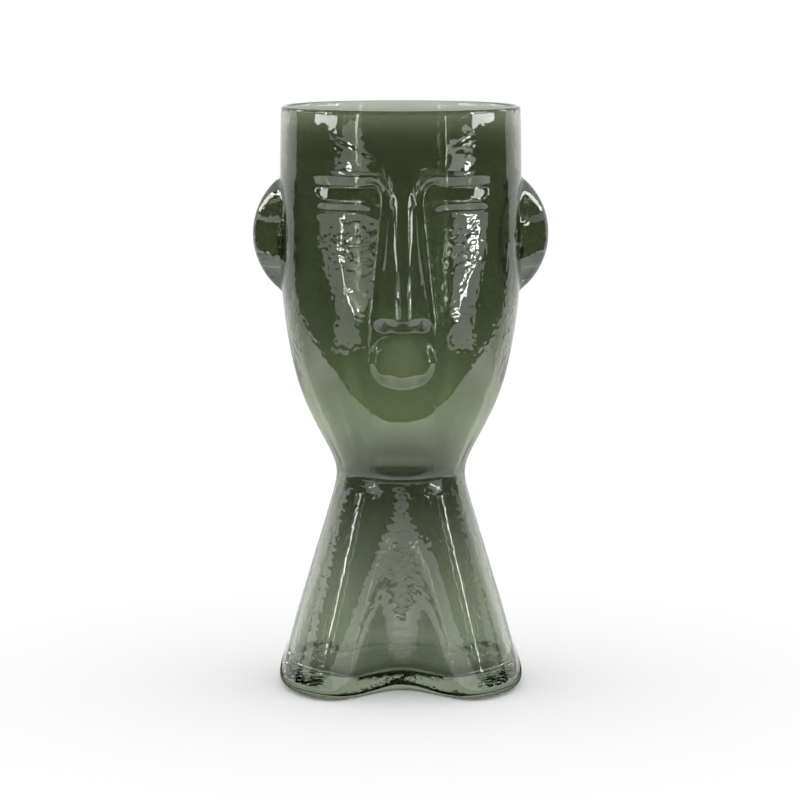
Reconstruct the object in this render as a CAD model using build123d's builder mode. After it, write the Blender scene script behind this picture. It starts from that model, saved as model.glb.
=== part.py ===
"""Face vase: a hollow vessel of smoke-green glass in the shape of a stylised head.

Millimetres, +Z up, origin on the floor under the head's axis. The face looks along -Y.
Left and right are as seen from the front, so left is at -X.
"""

import math
import os

from build123d import *

# Waist, where the head and the foot are fused: everything on the head is measured up from it
waist_height = 165.0
waist_radius = 49.6
waist_wall = 8.0

# Head, outside radius at each height above the waist
rim_rise = 285.0
temple_rise = 232.0
head_radius = 93.5
head_wall = 5.0
cheek_rise = 118.0
cheek_radius = 89.6
jaw_rise = 56.0
jaw_radius = 74.7
chin_rise = 24.5
chin_radius = 58.9
chin_wall = 9.0
rim_flat = 0.6

# Ears
ear_rise = 187.0
ear_height = 88.0
ear_reach = 21.5
ear_depth = 70.0

# Nose: the ridge is its front edge, the root is its outline on the face
nose_underside_rise = 119.0
nose_length = 110.0
nose_tip_lift = 7.0
nose_top_reach = 7.0
nose_tip_reach = 24.0
nose_top_ridge = 11.0
nose_tip_ridge = 15.0
nose_top_width = 26.0
nose_base_width = 48.0
nose_root_depth = 1.5
nose_ridge_rounding = 4.0

# Brows: bands on the forehead, just above the top of the nose, that bend down beside it
brow_lift = 3.5
brow_band = 9.0
brow_relief = 5.0
brow_span = 66.0
brow_bend_radius = 11.0
brow_inner = 11.0
brow_droop = 11.0
brow_rounding = 2.0

# Eyelids: spindles laid along the face, below the brows
lid_drop = 20.5
lid_length = 48.0
lid_thickness = 15.0
lid_relief = 4.0
lid_angle = 27.5

# Mouth: two spindles laid across the face, below the nose
philtrum = 2.5
upper_lip_width = 44.0
upper_lip_thickness = 19.0
upper_lip_relief = 5.0
lip_spacing = 19.5
lower_lip_width = 40.0
lower_lip_thickness = 26.0
lower_lip_relief = 5.5

# Foot: its outline on the floor before the lower edge is rounded
foot_half_width = 98.5
foot_front_reach = 101.0
foot_back_reach = 95.0
foot_squareness = 2.5
foot_wall = 6.0
foot_edge_rounding = 11.0
floor_thickness = 12.0
floor_rounding = 10.0
valley_depth = 56.0
valley_half_width = 67.0
flare_softness = 0.06
flare_steps = 14
edge_steps = 3
foot_points = 48

os.makedirs("parts", exist_ok=True)


def finish(piece, label):
    """Name a finished piece of glass and write it."""
    piece.label = label
    export_step(piece, f"parts/{label}.step")


# Head: one profile turned about the axis, filled here to trim what is fused to it
rim_height = waist_height + rim_rise
with BuildPart() as head_form:
    with BuildSketch(Plane.XZ):
        with BuildLine():
            side = Line((head_radius, rim_height), (head_radius, waist_height + temple_rise))
            flank = Spline(
                side @ 1,
                (cheek_radius, waist_height + cheek_rise),
                (jaw_radius, waist_height + jaw_rise),
                (chin_radius, waist_height + chin_rise),
                (waist_radius, waist_height),
                tangents=((0, -1), (0, -1)),
            )
            Polyline(flank @ 1, (0, waist_height), (0, rim_height), side @ 0)
        make_face()
    revolve(axis=Axis.Z)


def face_radius(rise):
    """Outside radius of the head at a height above the waist."""
    height = waist_height + rise
    if rise >= temple_rise:
        return head_radius
    low, high = 0.0, 1.0
    for _ in range(40):
        middle = (low + high) / 2
        if flank.position_at(middle).Y > height:
            low = middle
        else:
            high = middle
    return flank.position_at(low).X


# The hollow of the head, open at the rim and at the waist
with BuildPart() as head_hollow:
    with BuildSketch(Plane.XZ):
        with BuildLine():
            inner_side = Line(
                (head_radius - head_wall, rim_height),
                (head_radius - head_wall, waist_height + temple_rise),
            )
            inner_flank = Spline(
                inner_side @ 1,
                (cheek_radius - head_wall, waist_height + cheek_rise),
                (jaw_radius - chin_wall, waist_height + jaw_rise),
                (chin_radius - chin_wall, waist_height + chin_rise),
                (waist_radius - waist_wall, waist_height),
                tangents=((0, -1), (0, -1)),
            )
            Polyline(inner_flank @ 1, (0, waist_height), (0, rim_height), inner_side @ 0)
        make_face()
    revolve(axis=Axis.Z)

with BuildPart() as head_bowl:
    add(head_form.part)
    add(head_hollow.part, mode=Mode.SUBTRACT)
    fillet(head_bowl.edges().group_by(Axis.Z)[-1], radius=(head_wall - rim_flat) / 2)
finish(head_bowl.part, "head_bowl")


def foot_section(share, waist_inset, foot_inset):
    """Points round one level section: a circle at the waist, share 0, and the lobed foot, share 1."""
    points = []
    for step in range(foot_points):
        turn = 2 * math.pi * step / foot_points
        across, ahead = math.sin(turn), math.cos(turn)
        reach = foot_front_reach if ahead > 0 else foot_back_reach
        lobe_x = math.copysign(abs(across) ** (2 / foot_squareness), across) * (foot_half_width - foot_inset)
        lobe_y = math.copysign(abs(ahead) ** (2 / foot_squareness), ahead) * (reach - foot_inset)
        if ahead > 0 and abs(lobe_x) < valley_half_width:
            lobe_y -= valley_depth * (1 + math.cos(math.pi * lobe_x / valley_half_width)) / 2
        ring = waist_radius - waist_inset
        points.append(
            (
                (1 - share) * ring * across + share * lobe_x,
                -(1 - share) * ring * ahead - share * lobe_y,
            )
        )
    return points


def flare(height):
    """Share of the foot's outline at a height: none at the waist, then a straight flare to the floor."""
    fall = (waist_height - height) / waist_height
    soft = flare_softness
    return (math.hypot(fall, soft) - soft) / (math.hypot(1, soft) - soft)


def foot_levels(bottom, rounding):
    """Heights from a bottom up to the waist, each with the inset of the rounded edge at that height."""
    levels = []
    for step in range(edge_steps):
        turn = math.pi / 2 * step / edge_steps
        levels.append((bottom + rounding * (1 - math.cos(turn)), rounding * (1 - math.sin(turn))))
    for step in range(flare_steps + 1):
        levels.append((bottom + rounding + (waist_height - bottom - rounding) * step / flare_steps, 0))
    return levels


# The hollow of the foot, from the floor of the vase up to the waist
with BuildPart() as foot_hollow:
    for height, inset in foot_levels(floor_thickness, floor_rounding):
        with BuildSketch(Plane.XY.offset(height)):
            with BuildLine():
                Spline(foot_section(flare(height), waist_wall, foot_wall + inset), periodic=True)
            make_face()
    loft()

with BuildPart() as neck_foot:
    for height, inset in foot_levels(0, foot_edge_rounding):
        with BuildSketch(Plane.XY.offset(height)):
            with BuildLine():
                Spline(foot_section(flare(height), 0, inset), periodic=True)
            make_face()
    loft()
    add(foot_hollow.part, mode=Mode.SUBTRACT)
finish(neck_foot.part, "neck_foot")

# Nose: a wedge from its outline inside the face to the narrow ridge in front
nose_top_rise = nose_underside_rise + nose_length
nose_tip_rise = nose_underside_rise + nose_tip_lift
nose_top_y = face_radius(nose_top_rise) + nose_top_reach
nose_tip_y = face_radius(nose_tip_rise) + nose_tip_reach
nose_root_y = math.sqrt(face_radius(nose_underside_rise) ** 2 - nose_base_width**2 / 4) - nose_root_depth
ridge_run = Vector(0, nose_tip_y - nose_top_y, nose_top_rise - nose_tip_rise)
ridge_plane = Plane(
    origin=(0, -nose_tip_y, waist_height + nose_tip_rise),
    x_dir=(1, 0, 0),
    z_dir=Vector(1, 0, 0).cross(ridge_run),
)
with BuildPart() as nose:
    with BuildSketch(Plane.XZ.offset(nose_root_y)):
        with BuildLine():
            Polyline(
                (-nose_base_width / 2, waist_height + nose_underside_rise),
                (nose_base_width / 2, waist_height + nose_underside_rise),
                (nose_top_width / 2, waist_height + nose_top_rise),
                (-nose_top_width / 2, waist_height + nose_top_rise),
                close=True,
            )
        make_face()
    with BuildSketch(ridge_plane):
        with BuildLine():
            Polyline(
                (-nose_tip_ridge / 2, 0),
                (nose_tip_ridge / 2, 0),
                (nose_top_ridge / 2, ridge_run.length),
                (-nose_top_ridge / 2, ridge_run.length),
                close=True,
            )
        make_face()
    loft(ruled=True)
    ridge_face = nose.faces().filter_by(lambda face: face.center().Y < -nose_top_y).sort_by(SortBy.AREA)[-1]
    fillet(ridge_face.edges().sort_by(Axis.Z)[:3], radius=nose_ridge_rounding)
    add(head_form.part, mode=Mode.SUBTRACT)
finish(nose.part, "nose")

for side_sign, side_name in ((-1, "left"), (1, "right")):
    # Ear: a spindle on end, so that a bow of its arc stands out from the side of the head
    bow_radius = (ear_height**2 / 4 + ear_reach**2) / (2 * ear_reach)
    ear_girth = ear_depth / 2
    ear_axis_x = side_sign * (head_radius + ear_reach - ear_girth)
    ear_half_length = math.sqrt(bow_radius**2 - (bow_radius - ear_girth) ** 2)
    ear_middle = waist_height + ear_rise
    with BuildPart() as ear:
        with BuildSketch(Plane.XZ):
            with BuildLine():
                bow = ThreePointArc(
                    (ear_axis_x, ear_middle - ear_half_length),
                    (ear_axis_x + side_sign * ear_girth, ear_middle),
                    (ear_axis_x, ear_middle + ear_half_length),
                )
                Line(bow @ 1, bow @ 0)
            make_face()
        revolve(axis=Axis((ear_axis_x, 0, 0), (0, 0, 1)))
        add(head_form.part, mode=Mode.SUBTRACT)
    finish(ear.part, f"{side_name}_ear")

    # Brow: a band that follows the forehead and turns down beside the nose
    brow_height = waist_height + nose_top_rise + brow_lift
    with BuildPart() as brow:
        with BuildSketch(Plane.XZ):
            with BuildLine():
                level_run = Line(
                    (side_sign * brow_span, brow_height),
                    (side_sign * (brow_inner + brow_bend_radius), brow_height),
                )
                bend = TangentArc(
                    level_run @ 1,
                    (side_sign * brow_inner, brow_height - brow_bend_radius),
                    tangent=level_run % 1,
                )
                Line(bend @ 1, (side_sign * brow_inner, brow_height - brow_bend_radius - brow_droop))
            trace(line_width=brow_band)
        extrude(amount=head_radius + 2 * brow_relief)
        with Locations((0, 0, brow_height)):
            Cylinder(radius=head_radius + brow_relief, height=4 * brow_span, mode=Mode.INTERSECT)
        add(head_form.part, mode=Mode.SUBTRACT)
        band_face = brow.faces().sort_by(lambda face: face.distance_to((0, 0, brow_height)))[-1]
        fillet(band_face.edges(), radius=brow_rounding)
        add(nose.part, mode=Mode.SUBTRACT)
    finish(brow.part, f"{side_name}_brow")

    # Eyelid: a spindle laid along the face, sunk until only its relief stands out
    lid_rise = nose_top_rise + brow_lift - lid_drop
    lid_turn = math.radians(lid_angle)
    lid_radial = Vector(side_sign * math.sin(lid_turn), -math.cos(lid_turn), 0)
    lid_along = Vector(side_sign * math.cos(lid_turn), math.sin(lid_turn), 0)
    lid_centre = lid_radial * (face_radius(lid_rise) + lid_relief - lid_thickness / 2)
    lid_centre += Vector(0, 0, waist_height + lid_rise)
    with BuildPart() as eyelid:
        with BuildSketch(Plane(origin=lid_centre, x_dir=lid_along, z_dir=(0, 0, 1))):
            with BuildLine():
                lid_bow = EllipticalCenterArc((0, 0), lid_length / 2, lid_thickness / 2, 0, arc_size=180)
                Line(lid_bow @ 1, lid_bow @ 0)
            make_face()
        revolve(axis=Axis(lid_centre, lid_along))
        add(head_form.part, mode=Mode.SUBTRACT)
    finish(eyelid.part, f"{side_name}_eyelid")

# Lips: spindles laid across the face, the lower one trimmed where the upper one meets it
upper_lip_rise = nose_underside_rise - philtrum - upper_lip_thickness / 2
upper_lip_y = face_radius(upper_lip_rise) + upper_lip_relief - upper_lip_thickness / 2
with BuildPart() as upper_lip:
    with BuildSketch(Plane.XY.move(Location((0, -upper_lip_y, waist_height + upper_lip_rise)))):
        with BuildLine():
            upper_bow = EllipticalCenterArc((0, 0), upper_lip_width / 2, upper_lip_thickness / 2, 0, arc_size=180)
            Line(upper_bow @ 1, upper_bow @ 0)
        make_face()
    revolve(axis=Axis((0, -upper_lip_y, waist_height + upper_lip_rise), (1, 0, 0)))
    add(head_form.part, mode=Mode.SUBTRACT)
finish(upper_lip.part, "upper_lip")

lower_lip_rise = upper_lip_rise - lip_spacing
lower_lip_y = face_radius(lower_lip_rise) + lower_lip_relief - lower_lip_thickness / 2
with BuildPart() as lower_lip:
    with BuildSketch(Plane.XY.move(Location((0, -lower_lip_y, waist_height + lower_lip_rise)))):
        with BuildLine():
            lower_bow = EllipticalCenterArc((0, 0), lower_lip_width / 2, lower_lip_thickness / 2, 0, arc_size=180)
            Line(lower_bow @ 1, lower_bow @ 0)
        make_face()
    revolve(axis=Axis((0, -lower_lip_y, waist_height + lower_lip_rise), (1, 0, 0)))
    add(head_form.part, mode=Mode.SUBTRACT)
    add(upper_lip.part, mode=Mode.SUBTRACT)
finish(lower_lip.part, "lower_lip")
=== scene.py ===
import math

import bpy
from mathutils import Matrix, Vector, noise


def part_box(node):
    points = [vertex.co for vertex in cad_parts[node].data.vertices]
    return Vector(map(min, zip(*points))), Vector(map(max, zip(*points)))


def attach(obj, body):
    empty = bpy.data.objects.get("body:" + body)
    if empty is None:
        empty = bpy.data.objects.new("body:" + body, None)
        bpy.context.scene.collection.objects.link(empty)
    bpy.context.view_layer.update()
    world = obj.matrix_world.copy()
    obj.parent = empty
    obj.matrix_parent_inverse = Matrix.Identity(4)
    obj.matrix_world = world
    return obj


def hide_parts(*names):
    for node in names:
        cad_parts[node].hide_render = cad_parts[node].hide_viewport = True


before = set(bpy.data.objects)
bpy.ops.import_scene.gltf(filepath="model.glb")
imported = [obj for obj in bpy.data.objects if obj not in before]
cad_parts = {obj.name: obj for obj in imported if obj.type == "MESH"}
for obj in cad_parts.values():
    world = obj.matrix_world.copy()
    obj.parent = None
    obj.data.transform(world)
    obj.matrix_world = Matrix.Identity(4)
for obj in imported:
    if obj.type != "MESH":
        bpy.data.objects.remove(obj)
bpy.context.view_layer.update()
bpy.ops.object.select_all(action="DESELECT")

# The vessel. One bubble of smoke-green glass blown into a mould: a round head with an open rim, a waist in
# place of a neck, and a hollow foot with a thick floor. It is one skin of glass with an outside and an
# inside, so it is raised here ring by ring, up the outside, over the rim and down the inside to the floor.
mm = 0.001
head_low, head_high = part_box("head_bowl")
rim_height = head_high[2] / mm
waist_height = head_low[2] / mm
waist_radius, waist_wall = 49.6, 8.0
head_wall, chin_wall = 5.0, 9.0
chin_rise, jaw_rise, cheek_rise = 24.5, 56.0, 118.0
foot_half_width, foot_wall = 98.5, 6.0
flare_softness = 0.035
floor_thickness = 15.0
edge_rounding, floor_rounding = 11.0, 11.0
columns = 60
# Height above the waist, outside radius there, and how fast the radius grows with height
head_stations = (
    (0.0, waist_radius, 0.0),
    (chin_rise, 58.9, 0.55),
    (jaw_rise, 74.7, 0.40),
    (cheek_rise, 89.6, 0.155),
    (232.0, 93.5, 0.0),
    (285.0, 92.5, -0.04),
)


def head_radius(height):
    """Outside radius of the head at a height, on smooth curves from station to station."""
    rise = min(max(height - waist_height, 0.0), head_stations[-1][0])
    for (low, low_radius, low_slope), (high, high_radius, high_slope) in zip(head_stations, head_stations[1:]):
        if rise <= high:
            break
    span = high - low
    t = (rise - low) / span
    bend = low_slope * span * t * (1 - t) ** 2 - high_slope * span * t * t * (1 - t)
    return low_radius + (high_radius - low_radius) * t * t * (3 - 2 * t) + bend


def head_wall_at(height):
    """Thickness of the head's wall, level: thin above the cheeks, thick at the chin."""
    rise = height - waist_height
    if rise >= cheek_rise:
        return head_wall
    if rise >= jaw_rise:
        return chin_wall + (head_wall - chin_wall) * (rise - jaw_rise) / (cheek_rise - jaw_rise)
    return waist_wall + (chin_wall - waist_wall) * min(rise / chin_rise, 1.0)


def flare(height):
    """Share of the foot's full outline at a height: none at the waist, then a straight flare."""
    fall = (waist_height - height) / waist_height
    return (math.hypot(fall, flare_softness) - flare_softness) / (math.hypot(1, flare_softness) - flare_softness)


def foot_radius(height, waist_inset, foot_inset):
    """Half-width of the foot at a height, before its front is drawn in."""
    share = flare(height)
    return (1 - share) * (waist_radius - waist_inset) + share * (foot_half_width - foot_inset)


# Rings of the outside: the underside, its rounded edge, the foot, the chin and jaw, and the face, where the
# rings lie closest at the nose's tip and at the brows
outside_rings = [(radius, 0.0) for radius in (30.0, 58.0, 78.0)]
for degrees in (0, 30, 60, 90):
    turn = math.radians(degrees)
    height = edge_rounding * (1 - math.cos(turn))
    outside_rings.append((foot_radius(height, 0, 0) - edge_rounding * (1 - math.sin(turn)), height))
outside_rings += [(foot_radius(height, 0, 0), height) for height in range(22, 160, 12)]
outside_rings += [(head_radius(height), height) for height in range(165, 226, 10)]
face_heights = [232.0 + 6.7 * step for step in range(8)]
face_heights += [282.0 + 3.0 * step for step in range(6)]
face_heights += [303.0 + 6.7 * step for step in range(10)]
face_heights += [369.0 + 3.5 * step for step in range(13)]
face_heights += [420.0, 431.0, 441.0]
outside_rings += [(head_radius(height), height) for height in face_heights]

rim_middle = head_stations[-1][1] - head_wall / 2
rim_rings = []
for degrees in (0, 30, 60, 90, 120, 150, 180):
    turn = math.radians(degrees)
    rim_rings.append(
        (
            rim_middle + head_wall / 2 * math.cos(turn),
            rim_height - head_wall / 2 * (1 - math.sin(turn)),
        )
    )

inside_rings = []
for height in (441, 405, 360, 315, 275, 245, 220, 200, 184, 165):
    inside_rings.append((head_radius(height) - head_wall_at(height), height))
for height in (148, 126, 102, 78, 54, 32):
    inside_rings.append((foot_radius(height, waist_wall, foot_wall), height))
for degrees in (90, 60, 30, 0):
    turn = math.radians(degrees)
    height = floor_thickness + floor_rounding * (1 - math.cos(turn))
    inset = floor_rounding * (1 - math.sin(turn))
    inside_rings.append((foot_radius(height, waist_wall, foot_wall) - inset, height))
inside_rings += [(radius, floor_thickness) for radius in (60.0, 30.0, 4.0)]

ring_radius, ring_height = 4.0, 0.0
bpy.ops.mesh.primitive_circle_add(vertices=columns, radius=ring_radius * mm, location=(0, 0, 0))
vase = bpy.context.object
vase.name = "vase_glass"
vase.data.name = "vase_glass"
inside = vase.vertex_groups.new(name="inside")
bpy.ops.object.mode_set(mode="EDIT")
bpy.ops.mesh.select_all(action="SELECT")
for radius, height in outside_rings + rim_rings + inside_rings:
    bpy.ops.mesh.extrude_region_move(TRANSFORM_OT_translate={"value": (0, 0, (height - ring_height) * mm)})
    growth = radius / ring_radius
    bpy.ops.transform.resize(value=(growth, growth, 1), center_override=(0, 0, height * mm))
    if (radius, height) in inside_rings:
        bpy.ops.object.vertex_group_assign()
    ring_radius, ring_height = radius, height
# Both ends close in a point: the middle of the floor inside, and the middle of the underside
bpy.ops.mesh.merge(type="CENTER")
bpy.ops.mesh.select_all(action="DESELECT")
bpy.ops.object.mode_set(mode="OBJECT")
for vertex in vase.data.vertices:
    vertex.select = vertex.co.z < 0.1 * mm and vertex.co.xy.length < 5 * mm
bpy.ops.object.mode_set(mode="EDIT")
bpy.ops.mesh.merge(type="CENTER")
bpy.ops.mesh.select_all(action="SELECT")
bpy.ops.mesh.normals_make_consistent(inside=False)
bpy.ops.object.mode_set(mode="OBJECT")
skin = vase.modifiers.new("Smooth skin", "SUBSURF")
skin.levels = skin.render_levels = 2
bpy.ops.object.modifier_apply(modifier=skin.name)

# The foot's lobes. The mould draws the front of the foot in to a hollow, so that it flares to two
# front lobes like shoulders and is round behind.
foot_front_reach, foot_back_reach, foot_squareness = 101.0, 95.0, 2.5
valley_depth, valley_half_width = 56.0, 67.0


def foot_outline(turn, height, waist_inset, foot_inset):
    """Point of the foot's level outline at a turn from the front: a circle at the waist, lobed at the floor."""
    across, ahead = math.sin(turn), math.cos(turn)
    reach = foot_front_reach if ahead > 0 else foot_back_reach
    lobe_x = math.copysign(abs(across) ** (2 / foot_squareness), across) * (foot_half_width - foot_inset)
    lobe_y = math.copysign(abs(ahead) ** (2 / foot_squareness), ahead) * (reach - foot_inset)
    if ahead > 0 and abs(lobe_x) < valley_half_width:
        lobe_y -= valley_depth * (1 + math.cos(math.pi * lobe_x / valley_half_width)) / 2
    share = flare(height)
    ring = (1 - share) * (waist_radius - waist_inset)
    return ring * across + share * lobe_x, -ring * ahead - share * lobe_y


# The face. A calm mask in relief on the front of the head: level brows that turn down into a straight
# wedge of a nose, closed lids, and a small full mouth. Its glass is solid: the inside of the head is smooth.
nose_low, nose_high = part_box("nose")
nose_top = nose_high[2] / mm
nose_tip = nose_low[2] / mm + 7.0
nose_half_width, nose_root_half_width = nose_high[0] / mm + 1.0, 14.5
nose_tip_stand, nose_root_stand, nose_fade = 23.3, 7.5, 18.0
ridge_half_at_tip, ridge_half_at_root = 6.6, 5.0
ridge_spread, ridge_spread_start = 0.024, 381.0
underside_middle, underside_reach, underside_half_width = nose_tip - 1.8, 6.9, 26.0
slot_height, slot_low, slot_high = 0.56, 0.33, 0.56
cheek_low, cheek_high, cheek_sink = 262.0, 372.0, 8.0

brow_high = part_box("right_brow")[1]
brow_height, brow_end = brow_high[2] / mm - 4.5, brow_high[0] / mm
brow_bend_radius, brow_inner_edge, brow_overhang = 12.7, 13.8, 3.5
forehead_top, forehead_length, forehead_swell = 448.0, 44.0, 1.5
socket_depth, socket_slope, socket_inner_slope = 6.0, 0.72, 0.35
lid_low, lid_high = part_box("right_eyelid")
lid_height = (lid_low[2] + lid_high[2]) / 2 / mm
lid_edge = lid_height + 4.0
lid_stand, lid_slope, lid_start = 2.9, 0.40, 393.0
lid_step, lid_step_slope = 2.0, 0.28

lip_height = (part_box("upper_lip")[0][2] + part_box("upper_lip")[1][2]) / 2 / mm
lower_lip_height = (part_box("lower_lip")[0][2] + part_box("lower_lip")[1][2]) / 2 / mm
mouth_height = (lip_height + lower_lip_height) / 2
mouth_half_width, mouth_half_height, mouth_stand = 25.5, 22.5, 3.7
lip_line_rise, lip_line_depth = 3.0, 0.6
chin_stand, face_fillet = 4.2, 2.0


def soft_min(first, second, blend):
    """The lesser of two heights, rounded where they cross."""
    near = max(blend - abs(first - second), 0.0) / blend
    return min(first, second) - near * near * blend / 4


def soft_max(first, second, blend):
    """The greater of two heights, rounded where they cross."""
    return -soft_min(-first, -second, blend)


def ease(low, high, value):
    """Smooth step from 0 at low to 1 at high."""
    t = min(max((value - low) / (high - low), 0.0), 1.0)
    return t * t * (3 - 2 * t)


def mound(across, up, half_width, half_height):
    """A rounded swelling, 1 at its middle and 0 round its edge."""
    return max(1 - (across / half_width) ** 2 - (up / half_height) ** 2, 0.0) ** 1.5


def slope_down(fall, steepness, depth):
    """An even slope that starts at no fall and ends at a depth, rounded where it starts and ends."""
    return soft_max(soft_min(steepness * fall, depth, 0.7), 0.0, 0.7)


def nose_relief(across, height):
    """Height of the nose off the face: a flat ridge, sloping flanks, and a tip that turns under to a slot."""
    up = min(max((height - nose_tip) / (nose_top - nose_tip), 0.0), 1.0)
    spread = ridge_spread * max(height - ridge_spread_start, 0.0) ** 2
    ridge = nose_tip_stand + (nose_root_stand - nose_tip_stand) * up
    ridge *= 1 - ease(nose_top - nose_fade, nose_top + nose_fade, height)
    ridge_half = ridge_half_at_tip + (ridge_half_at_root - ridge_half_at_tip) * up + spread
    root_half = nose_half_width + (nose_root_half_width - nose_half_width) * up + spread
    cheek_depth = cheek_sink * ease(cheek_low, cheek_high, height)
    flank = ridge - (ridge + cheek_depth) * (across - ridge_half) / (root_half - ridge_half)
    wedge = soft_min(ridge, flank, 10.0)
    if wedge <= 0:
        return wedge
    reach = underside_reach * math.sqrt(max(1 - (across / underside_half_width) ** 2, 0.01))
    low = underside_middle - reach
    high = underside_middle + reach - 2.0 * ease(8.0, 4.0, across)
    share = (height - low) / (high - low)
    share += ease(15.0, 10.5, across) * slot_height * (ease(slot_low, slot_high, share) - share)
    return soft_min(wedge, wedge * share, 1.2)


def brow_line(across, height):
    """Distance outside the brow: above it where it is level, and towards the nose where it bends down."""
    bend_x, bend_z = brow_inner_edge + brow_bend_radius, brow_height - brow_bend_radius
    if across >= bend_x:
        return height - brow_height
    if height >= bend_z:
        return math.hypot(across - bend_x, height - bend_z) - brow_bend_radius
    return brow_inner_edge - across


def eye_relief(across, height):
    """The forehead swells to the brow, steps in under it, swells to the lid and steps in again to the cheek."""
    forehead = forehead_swell * min(max((forehead_top - height) / forehead_length, 0.0), 1.0)
    forehead *= ease(82.0, 50.0, across)
    steepness = socket_slope + socket_inner_slope * ease(30.0, 20.0, across)
    lid_fall = lid_edge - height - 0.25 * max(31.0 - across, 0.0)
    sunken = slope_down(brow_overhang - brow_line(across, height), steepness, socket_depth)
    sunken += slope_down(lid_fall, lid_step_slope, lid_step)
    lid = lid_stand * ease(lid_start, lid_edge, height) - slope_down(lid_fall, lid_slope, lid_stand)
    slant = 0.3 * min(max(height - lid_height, -5.0), 5.0)
    lid *= ease(14.0, 30.0, across) * ease(brow_end + 5.0, brow_end - 5.0, across + slant)
    return (forehead + lid - sunken * ease(90.0, 50.0, across)) * ease(cheek_low, cheek_high, height)


def mouth_relief(across, height):
    """Height of the mouth: one low rounded swelling, flat in the middle, with a shallow line at its corners."""
    up = height - mouth_height
    inward = mouth_half_height * (1 - math.hypot(across / mouth_half_width, up / mouth_half_height))
    lip_line = 1 - ease(0.0, 3.0, abs(up - lip_line_rise))
    lip_line *= ease(7.0, 16.0, across) * ease(29.0, 22.0, across)
    return slope_down(inward, 0.33 + 0.5 * ease(9.0, 20.0, across), mouth_stand) - lip_line_depth * lip_line


def face_relief(across, height):
    """How far the face stands out in front of the round head."""
    across = abs(across)
    chin = chin_stand * ease(waist_height + 4.0, waist_height + 15.0, height) * ease(250.0, 185.0, height)
    features = soft_max(nose_relief(across, height), eye_relief(across, height), face_fillet)
    return features + mouth_relief(across, height) + chin * ease(60.0, 15.0, across)


# The ears. Solid half-round lumps of the same glass on the sides of the head, with a soft ridge down the
# middle. They meet the head in a crease.
ear_low, ear_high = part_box("right_ear")
ear_middle = (ear_low[2] + ear_high[2]) / 2 / mm
ear_tip = ear_high[0] / mm
ear_girth, ear_half_height, ear_reach = 35.0, 44.0, 21.5
ear_edge_fall, ear_edge_power = 28.5, 1.25
ear_bow = (ear_half_height**2 + ear_reach**2) / (2 * ear_reach)


def ear_side(across, height):
    """How far out the ear's surface lies at a distance before or behind the middle of the head's side."""
    off = abs(height - ear_middle)
    if off >= ear_bow:
        return 0.0
    girth = ear_girth - ear_bow + math.sqrt(ear_bow**2 - off**2)
    return ear_tip - ear_girth + girth - ear_edge_fall * (abs(across) / ear_girth) ** ear_edge_power


# The skin takes these forms: the columns crowd towards the face, the foot gets its lobes, the head its
# relief, and the whole surface the shallow dents of glass that froze against a mould. Inside, the floor
# rises to the front hollow, the wall follows the sunken cheeks softly, and it is smooth behind the ears.
front_crowding, side_crowding = 0.7, 0.12
face_half_turn = math.radians(72)
floor_mound, floor_mound_ahead, floor_mound_half_width, floor_mound_half_length = 14.0, 38.0, 50.0, 45.0
floor_mound_top = 70.0
cheek_hollow, cheek_hollow_aside, cheek_hollow_height = 4.4, 36.0, 350.0
cheek_hollow_half_width, cheek_hollow_half_height = 38.0, 75.0
collar_sag, collar_drop, collar_half_width, collar_half_height = 5.0, 10.0, 44.0, 32.0
smooth_side, dented_side = 87.0, 76.0
dent_depth, dent_size = 0.25, 30.0
inner_dent_depth, inner_dent_size = 0.9, 26.0
ripple_depth, inner_ripple_depth, ripple_size = 0.06, 0.25, 9.0
for vertex in vase.data.vertices:
    x, y, height = vertex.co / mm
    is_inside = sum(member.weight for member in vertex.groups if member.group == inside.index) > 0.5
    radius = math.hypot(x, y)
    turn = math.atan2(x, -y)
    turn += side_crowding * math.sin(2 * turn) - front_crowding * math.sin(turn)
    if height < waist_height:
        insets = (waist_wall, foot_wall) if is_inside else (0.0, 0.0)
        share = radius / foot_radius(max(height, 0.0), *insets)
        x, y = (share * part for part in foot_outline(turn, max(height, 0.0), *insets))
        if is_inside:
            swell = mound(x, y + floor_mound_ahead, floor_mound_half_width, floor_mound_half_length)
            height += floor_mound * swell * ease(floor_mound_top, floor_thickness, height)
    else:
        x, y = radius * math.sin(turn), -radius * math.cos(turn)
        if is_inside:
            if y < 0:
                y += cheek_hollow * mound(
                    abs(x) - cheek_hollow_aside,
                    height - cheek_hollow_height,
                    cheek_hollow_half_width,
                    cheek_hollow_half_height,
                )
        elif abs(turn) < face_half_turn:
            y -= face_relief(x, height)
        else:
            x = math.copysign(soft_max(abs(x), ear_side(y, height), 2.0), x)
    if y < 0 and not is_inside:
        height -= collar_sag * mound(x, height - waist_height + collar_drop, collar_half_width, collar_half_height)
    place = Vector((x, y, height))
    ripple = 0.5 + 0.5 * noise.noise(place / ripple_size)
    if is_inside:
        dent = inner_dent_depth * (0.5 + 0.5 * noise.noise(place / inner_dent_size + Vector((7, 3, 1))))
        dent += inner_ripple_depth * ripple
        dent *= -ease(rim_height, rim_height - 12.0, height) * ease(floor_thickness, floor_thickness + 12.0, height)
        if height > waist_height:
            dent *= ease(smooth_side, dented_side, abs(x))
    else:
        dent = dent_depth * (0.5 + 0.5 * noise.noise(place / dent_size)) + ripple_depth * ripple
        dent *= ease(0.0, 8.0, height) * ease(rim_height, rim_height - 6.0, height)
    shrink = 1 - dent / max(math.hypot(x, y), 10.0)
    vertex.co = Vector((x * shrink, y * shrink, height)) * mm
bpy.ops.object.shade_smooth()


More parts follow.
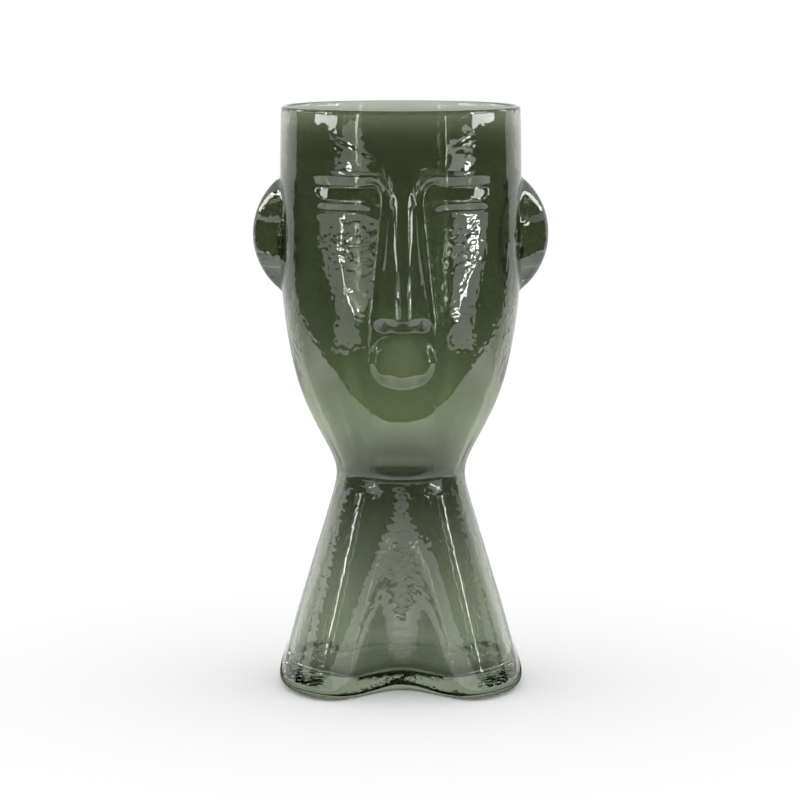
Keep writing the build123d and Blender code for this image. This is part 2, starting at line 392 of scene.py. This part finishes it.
# The glass. Smoke-green and clear, with the fine ripple that a mould leaves. Its colour changes with height:
# deepest in the middle of the head and at the top of the neck, paler towards the rim, the chin and the foot. That
# is partly the glass's own colour and partly painted light and shade, and the pale band at the chin and jaw is a
# painted reflection.
class Value:
    """A value in a node tree: sums and products of values add the Math nodes that work them out."""

    def __init__(self, tree, socket=None):
        self.tree = tree
        self.socket = socket

    def node(self, kind, settings, sockets, output=0):
        """Add any node, its settings first and then its sockets, and give one of its outputs."""
        made = self.tree.nodes.new(kind)
        for name, setting in settings.items():
            if name == "stops":
                for position, colour in setting[1:-1]:
                    made.color_ramp.elements.new(position)
                for stop, (position, colour) in zip(made.color_ramp.elements, setting):
                    stop.position, stop.color = position, (*colour, 1)
            else:
                setattr(made, name, setting)
        for name, given in sockets.items():
            if isinstance(given, Value):
                self.tree.links.new(given.socket, made.inputs[name])
            else:
                made.inputs[name].default_value = given
        return Value(self.tree, made.outputs[output] if made.outputs else None)

    def work(self, operation, *given):
        return self.node("ShaderNodeMath", {"operation": operation}, dict(enumerate(given)))

    def __add__(self, other):
        return self.work("ADD", self, other)

    def __mul__(self, other):
        return self.work("MULTIPLY", self, other)

    def __rsub__(self, other):
        return self.work("SUBTRACT", other, self)

    def __abs__(self):
        return self.work("ABSOLUTE", self)

    __radd__ = __add__
    __rmul__ = __mul__


def fade(value, low, high, at_low, at_high):
    """A level that goes evenly from one to another while a value goes from low to high."""
    return value.node("ShaderNodeMapRange", {}, {"Value": value, 1: low, 2: high, 3: at_low, 4: at_high}, "Result")


# Height in millimetres, and the share of light of each colour that passes the skin there: the glass's own colour
# with painted light and shade laid over it
colour_and_painted_light_stops = (
    (0.0, (0.50, 0.54, 0.46)),
    (45.0, (0.485, 0.525, 0.43)),
    (88.0, (0.40, 0.435, 0.35)),
    (125.0, (0.27, 0.30, 0.24)),
    (150.0, (0.165, 0.19, 0.135)),
    (170.0, (0.20, 0.22, 0.16)),
    (205.0, (0.365, 0.425, 0.285)),
    (235.0, (0.30, 0.345, 0.225)),
    (295.0, (0.20, 0.235, 0.155)),
    (418.0, (0.185, 0.215, 0.14)),
    (430.0, (0.24, 0.27, 0.19)),
    (443.0, (0.42, 0.46, 0.36)),
    (450.0, (0.52, 0.56, 0.48)),
)
mouth_tint, mouth_share = (0.62, 0.66, 0.52, 1), 0.55
skin_clearness, valley_painted_shade = 0.95, 0.3
# Height in millimetres, and how strongly the mould's hammering shows there
hammer_stops = (
    (0.0, 0.5),
    (60.0, 0.6),
    (158.0, 1.2),
    (169.0, 0.25),
    (240.0, 0.06),
    (275.0, 1.4),
    (366.0, 0.8),
    (392.0, 0.2),
    (450.0, 0.2),
)
hammer_scale, hammer_depth = 240.0, 0.18
swell_scale, swell_depth = 95.0, 0.08

glass = bpy.data.materials.new("smoke_green_glass")
glass.use_nodes = True
glass.node_tree.nodes.clear()
melt = Value(glass.node_tree)
spot = melt.node("ShaderNodeTexCoord", {}, {}, "Object")
level = melt.node("ShaderNodeSeparateXYZ", {}, {"Vector": spot}, "Z")
behind = melt.node("ShaderNodeSeparateXYZ", {}, {"Vector": spot}, "Y")
aside = abs(melt.node("ShaderNodeSeparateXYZ", {}, {"Vector": spot}, "X"))
rise = level * (1 / (rim_height * mm))
# Base colour by height: the glass's own colour with painted light and shade
glass_colour_and_painted_light = melt.node(
    "ShaderNodeValToRGB",
    {"stops": [(stop / rim_height, colour) for stop, colour in colour_and_painted_light_stops]},
    {"Fac": rise},
    "Color",
)
# The glass is paler round the mouth
mouth_middle = (0, -100.0 * mm, mouth_height * mm)
from_mouth = melt.node("ShaderNodeVectorMath", {"operation": "DISTANCE"}, {0: spot, 1: mouth_middle}, "Value")
glass_colour_and_painted_light = melt.node(
    "ShaderNodeMix",
    {"data_type": "RGBA"},
    {"Factor": fade(from_mouth, 0.012, 0.026, mouth_share, 0.0), 6: glass_colour_and_painted_light, 7: mouth_tint},
    2,
)
# Painted shade: the front hollow of the foot is painted a little darker than the lobes
valley = fade(aside, 0.022, 0.042, valley_painted_shade, 0.0) * fade(behind, -0.035, -0.025, 1.0, 0.0)
valley = valley * fade(level, 0.10, 0.14, 1.0, 0.0) * fade(level, 0.035, 0.055, 0.0, 1.0)
glass_colour_and_painted_light = melt.node("ShaderNodeVectorMath", {"operation": "SCALE"}, {0: glass_colour_and_painted_light, "Scale": skin_clearness * (1 - valley)})
# The nose's ridge and flanks are smoother than the cheeks
hammer = melt.node(
    "ShaderNodeValToRGB",
    {"stops": [(stop / rim_height, (strength, strength, strength)) for stop, strength in hammer_stops]},
    {"Fac": rise},
    "Color",
)
off_nose, below_nose = fade(aside, 0.015, 0.025, 0.12, 1.0), fade(level, 0.235, 0.25, 1.0, 0.0)
hammer = hammer * melt.node("ShaderNodeMath", {"operation": "MAXIMUM"}, {0: off_nose, 1: below_nose})
hammering = melt.node("ShaderNodeTexNoise", {}, {"Vector": spot, "Scale": hammer_scale, "Detail": 0.0}, "Fac")
swelling = melt.node("ShaderNodeTexNoise", {}, {"Vector": spot, "Scale": swell_scale, "Detail": 0.0}, "Fac")
surface = melt.node(
    "ShaderNodeBump",
    {},
    {"Height": hammer_depth * hammering * hammer + swell_depth * swelling, "Strength": 1.0, "Distance": mm},
    "Normal",
)
clear_skin = melt.node(
    "ShaderNodeBsdfPrincipled",
    {},
    {"Base Color": glass_colour_and_painted_light, "Roughness": 0.02, "IOR": 1.5, "Transmission Weight": 1.0, "Normal": surface},
)
smoke = melt.node("ShaderNodeVolumeAbsorption", {}, {"Color": (0.30, 0.38, 0.22, 1), "Density": 7.0})
melt.node("ShaderNodeOutputMaterial", {}, {"Surface": clear_skin, "Volume": smoke})
vase.data.materials.clear()
vase.data.materials.append(glass)
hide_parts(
    "head_bowl",
    "neck_foot",
    "left_ear",
    "right_ear",
    "nose",
    "left_brow",
    "right_brow",
    "left_eyelid",
    "right_eyelid",
    "upper_lip",
    "lower_lip",
)
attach(vase, "root")

# The stage. A white table in a white surround under a broad soft top light. Round the camera's side stand
# black flags, with tall bright lamps and wide dim screens in front of them. Only the glass sees those, in its
# gloss or through its walls, and a round bright table top, which the chin mirrors.
bpy.ops.mesh.primitive_plane_add(size=12.0, location=(0, 0, -0.6 * mm))
table = bpy.context.object
table.name = "table"
bpy.ops.object.transform_apply()
chalk = bpy.data.materials.new("white_table")
chalk.use_nodes = True
chalk.node_tree.nodes["Principled BSDF"].inputs["Base Color"].default_value = (0.94, 0.94, 0.94, 1)
chalk.node_tree.nodes["Principled BSDF"].inputs["Roughness"].default_value = 0.9
chalk.node_tree.nodes["Principled BSDF"].inputs["Specular IOR Level"].default_value = 0.0
table.data.materials.append(chalk)


def gloss_card(card, name, glow, through=False):
    """Make a card of the stage that only gloss sees, and rays through the glass if asked, with its own light."""
    paint = bpy.data.materials.new(name)
    paint.use_nodes = True
    face = Value(paint.node_tree).node("ShaderNodeEmission", {}, {"Color": (1, 1, 1, 1), "Strength": glow})
    face.tree.links.new(face.socket, paint.node_tree.nodes["Material Output"].inputs["Surface"])
    bpy.ops.object.transform_apply()
    card.name = name
    card.data.materials.append(paint)
    card.visible_camera = card.visible_diffuse = card.visible_shadow = card.visible_volume_scatter = False
    card.visible_transmission = through
    return face


def keep_front(card, half_turn):
    """Cut away the faces of a round card that lie further round from the front than a turn."""
    bpy.ops.object.transform_apply()
    bpy.ops.object.mode_set(mode="EDIT")
    bpy.ops.mesh.select_mode(type="FACE")
    bpy.ops.mesh.select_all(action="DESELECT")
    bpy.ops.object.mode_set(mode="OBJECT")
    for face in card.data.polygons:
        face.select = abs(math.atan2(face.center.x, -face.center.y)) > math.radians(half_turn)
    bpy.ops.object.mode_set(mode="EDIT")
    bpy.ops.mesh.delete(type="FACE")
    bpy.ops.mesh.select_mode(type="VERT")
    bpy.ops.object.mode_set(mode="OBJECT")


# Black flags all round the front, on the floor and overhead
flag_half_turn = 119
bpy.ops.mesh.primitive_cylinder_add(
    vertices=180, radius=4.0, depth=6.0, end_fill_type="NOTHING", location=(0, 0, 3)
)
keep_front(bpy.context.object, flag_half_turn)
gloss_card(bpy.context.object, "front_flag", 0.0)
bpy.ops.mesh.primitive_circle_add(vertices=180, radius=4.2, fill_type="TRIFAN", location=(0, 0, -0.4 * mm))
keep_front(bpy.context.object, flag_half_turn)
gloss_card(bpy.context.object, "floor_flag", 0.0)
bpy.ops.mesh.primitive_plane_add(size=12.0, location=(0, -3.0, 6.0))
gloss_card(bpy.context.object, "ceiling_flag", 0.0)

# The round table top, bright in front and dim where the brows look down at it. Round the foot its glow is painted
# down to almost nothing, a painted shadow of the vase on the table.
table_top_middle, table_top_radius = 1.05, 1.315
bpy.ops.mesh.primitive_circle_add(
    vertices=96, radius=table_top_radius, fill_type="NGON", location=(0, table_top_middle, -0.2 * mm)
)
table_top = gloss_card(bpy.context.object, "bright_table_top", 1.0)
table_spot = table_top.node("ShaderNodeTexCoord", {}, {}, "Object")
from_vase = table_top.node("ShaderNodeVectorMath", {"operation": "LENGTH"}, {0: table_spot}, "Value")
table_depth = table_top.node("ShaderNodeSeparateXYZ", {}, {"Vector": table_spot}, "Y")
table_side = abs(table_top.node("ShaderNodeSeparateXYZ", {}, {"Vector": table_spot}, "X"))
# Painted shadow: the glow fades to almost nothing round the foot, for the vase's shadow on the table
table_glow = fade(from_vase, 0.128, 0.146, 0.02, 1.0) * fade(from_vase, 0.14, 0.28, 0.22, 1.0)
table_glow = table_glow * fade(table_depth, -0.2, 0.35, 3.3, 1.0)
table_glow = table_glow * (fade(table_side, 0.12, 0.24, 1.0, 0.6) + fade(table_side, 0.46, 0.66, 0.0, 0.4))
table_top.tree.links.new(table_glow.socket, table_top.tree.nodes["Emission"].inputs["Color"])

# Low slats stand along the table top's front edge like a blind: bright underneath, where the foot's hollow sees
# them, and black on top, so that the chin does not
slat_count, slat_spacing, slat_depth, slat_half_turn = 8, 0.013, 0.027, 58
slat_low_radius, slat_high_radius = 1.383, 1.323
for slat in range(slat_count):
    for name, lift, glow in (("slat", 0.0, 1.7), ("slat_top", 0.5 * mm, 0.0)):
        bpy.ops.mesh.primitive_cone_add(
            vertices=360,
            radius1=slat_low_radius,
            radius2=slat_high_radius,
            depth=slat_depth,
            end_fill_type="NOTHING",
            location=(0, table_top_middle, slat_spacing * slat + lift),
        )
        keep_front(bpy.context.object, slat_half_turn)
        gloss_card(bpy.context.object, name, glow)

# Name, what sees the card, its brightness, then the distance, height, turn from the front and width of its lower
# and of its upper edge. A card is seen by the gloss of the glass, through the glass, or by both. The side lamps are
# shelves that rise outwards: bright on top, which the forehead sees, and black underneath. The seam lamps show
# through the glass alone, as the pale lines of its mould seams.
for name, seen_by, glow, low_edge, high_edge in (
    ("left_screen", "gloss", 1.8, (1.6, 0.0, -52.0, 0.60), (1.6, 0.37, -45.5, 1.62)),
    ("left_screen_top", "gloss", 1.8, (1.6, 0.395, -45.5, 1.20), (1.6, 0.53, -46.5, 0.12)),
    ("right_screen", "gloss", 2.0, (1.6, 0.0, 60.0, 0.70), (1.6, 0.37, 62.0, 0.72)),
    ("right_screen_top", "gloss", 3.4, (1.6, 0.395, 58.5, 1.00), (1.6, 0.465, 58.0, 0.55)),
    ("left_side_lamp", "gloss", 10.5, (1.3, 0.455, -75.0, 0.60), (2.0, 0.560, -75.0, 0.92)),
    ("left_lamp_back", "gloss", 0.0, (1.3, 0.453, -75.0, 0.62), (2.0, 0.558, -75.0, 0.96)),
    ("right_side_lamp", "gloss", 10.5, (1.3, 0.452, 83.0, 0.61), (2.0, 0.557, 83.0, 0.93)),
    ("right_lamp_back", "gloss", 0.0, (1.3, 0.450, 83.0, 0.63), (2.0, 0.555, 83.0, 0.97)),
    ("left_socket_lamp", "both", 10.0, (0.7, 0.555, -77.0, 0.28), (0.7, 0.68, -77.0, 0.22)),
    ("right_socket_lamp", "both", 10.0, (0.7, 0.555, 77.0, 0.28), (0.7, 0.68, 77.0, 0.22)),
    ("left_tube", "both", 80.0, (1.5, 0.02, -44.0, 0.020), (1.5, 0.35, -59.0, 0.020)),
    ("right_tube", "both", 80.0, (1.5, 0.02, 52.0, 0.022), (1.5, 0.35, 67.0, 0.022)),
    ("left_spot", "both", 30.0, (1.5, 0.402, -49.0, 0.10), (1.5, 0.414, -49.0, 0.12)),
    ("right_spot", "both", 30.0, (1.5, 0.400, 64.0, 0.20), (1.5, 0.412, 64.0, 0.16)),
    ("left_upper_screen", "gloss", 0.9, (1.6, 0.55, -74.0, 0.36), (1.6, 0.83, -74.0, 0.36)),
    ("right_upper_screen", "gloss", 1.1, (1.6, 0.55, 70.0, 0.42), (1.6, 0.83, 70.0, 0.42)),
    ("left_upper_tube", "both", 26.0, (1.5, 0.55, -74.0, 0.05), (1.5, 0.90, -74.0, 0.05)),
    ("right_upper_tube", "both", 40.0, (1.5, 0.55, 70.0, 0.05), (1.5, 0.90, 70.0, 0.05)),
    ("left_rear_lamp", "both", 8.0, (1.6, 0.68, -116.0, 0.17), (1.6, 1.16, -116.0, 0.17)),
    ("right_rear_lamp", "both", 8.0, (1.6, 0.68, 116.0, 0.17), (1.6, 1.16, 116.0, 0.17)),
    ("left_low_screen", "gloss", 1.8, (3.8, 0.70, -105.5, 1.82), (3.8, 1.02, -105.5, 1.82)),
    ("right_low_screen", "gloss", 0.8, (3.8, 0.70, 105.5, 1.82), (3.8, 1.02, 105.5, 1.82)),
    ("left_seam_lamp", "glass", 110.0, (1.4, 0.0, -43.0, 0.04), (1.4, 0.60, -43.0, 0.04)),
    ("right_seam_lamp", "glass", 110.0, (1.4, 0.0, 43.0, 0.04), (1.4, 0.60, 43.0, 0.04)),
):
    bpy.ops.mesh.primitive_plane_add(size=1, location=(0, 0, 0), rotation=(math.radians(90), 0, 0))
    card = bpy.context.object
    bpy.ops.object.transform_apply()
    for corner in card.data.vertices:
        distance, lift, degrees, width = high_edge if corner.co.z > 0 else low_edge
        turn, sideways = math.radians(degrees), corner.co.x * width
        corner.co = (
            distance * math.sin(turn) + sideways * math.cos(turn),
            sideways * math.sin(turn) - distance * math.cos(turn),
            lift,
        )
    gloss_card(card, name, glow, through=seen_by != "gloss")
    card.visible_glossy = seen_by != "glass"

# Two pale strips on the floor carry the screens down to the table
for name, degrees, glow in (("left_floor_card", -55.0, 1.8), ("right_floor_card", 63.0, 2.0)):
    bpy.ops.mesh.primitive_plane_add(size=1, location=(0, -1.15, -0.3 * mm))
    card = bpy.context.object
    card.scale = (0.45, 0.80, 1)
    bpy.ops.object.transform_apply()
    card.rotation_euler.z = math.radians(degrees)
    gloss_card(card, name, glow)

bpy.ops.object.light_add(type="SUN", location=(0, 0, 3))
top_light = bpy.context.object
top_light.name = "top_light"
top_light.data.energy = 0.30
top_light.data.angle = math.radians(100)
top_light.visible_glossy = top_light.visible_transmission = False

world = bpy.data.worlds.new("white_surround")
bpy.context.scene.world = world
world.use_nodes = True
world.node_tree.nodes["Background"].inputs["Color"].default_value = (1, 1, 1, 1)
world.node_tree.nodes["Background"].inputs["Strength"].default_value = 1.0

# The camera stands well back, a little above the rim, and looks slightly down at the vase. Light crosses
# the thick glass of the foot many times before it leaves it, so its paths are long.
camera_data = bpy.data.cameras.new("camera")
camera_data.sensor_width = 36.0
camera_data.lens = 158.5
camera_data.clip_end = 50.0
camera = bpy.data.objects.new("camera", camera_data)
bpy.context.scene.collection.objects.link(camera)
camera.location = (-0.0433, -2.7187, 0.574)
camera.rotation_euler = (math.radians(90 - 7.395), 0, math.radians(-0.9))
bpy.context.scene.camera = camera
bpy.context.scene.view_settings.view_transform = "Standard"
bpy.context.scene.cycles.max_bounces = 32
bpy.context.scene.cycles.transmission_bounces = 32
bpy.context.scene.cycles.glossy_bounces = 24
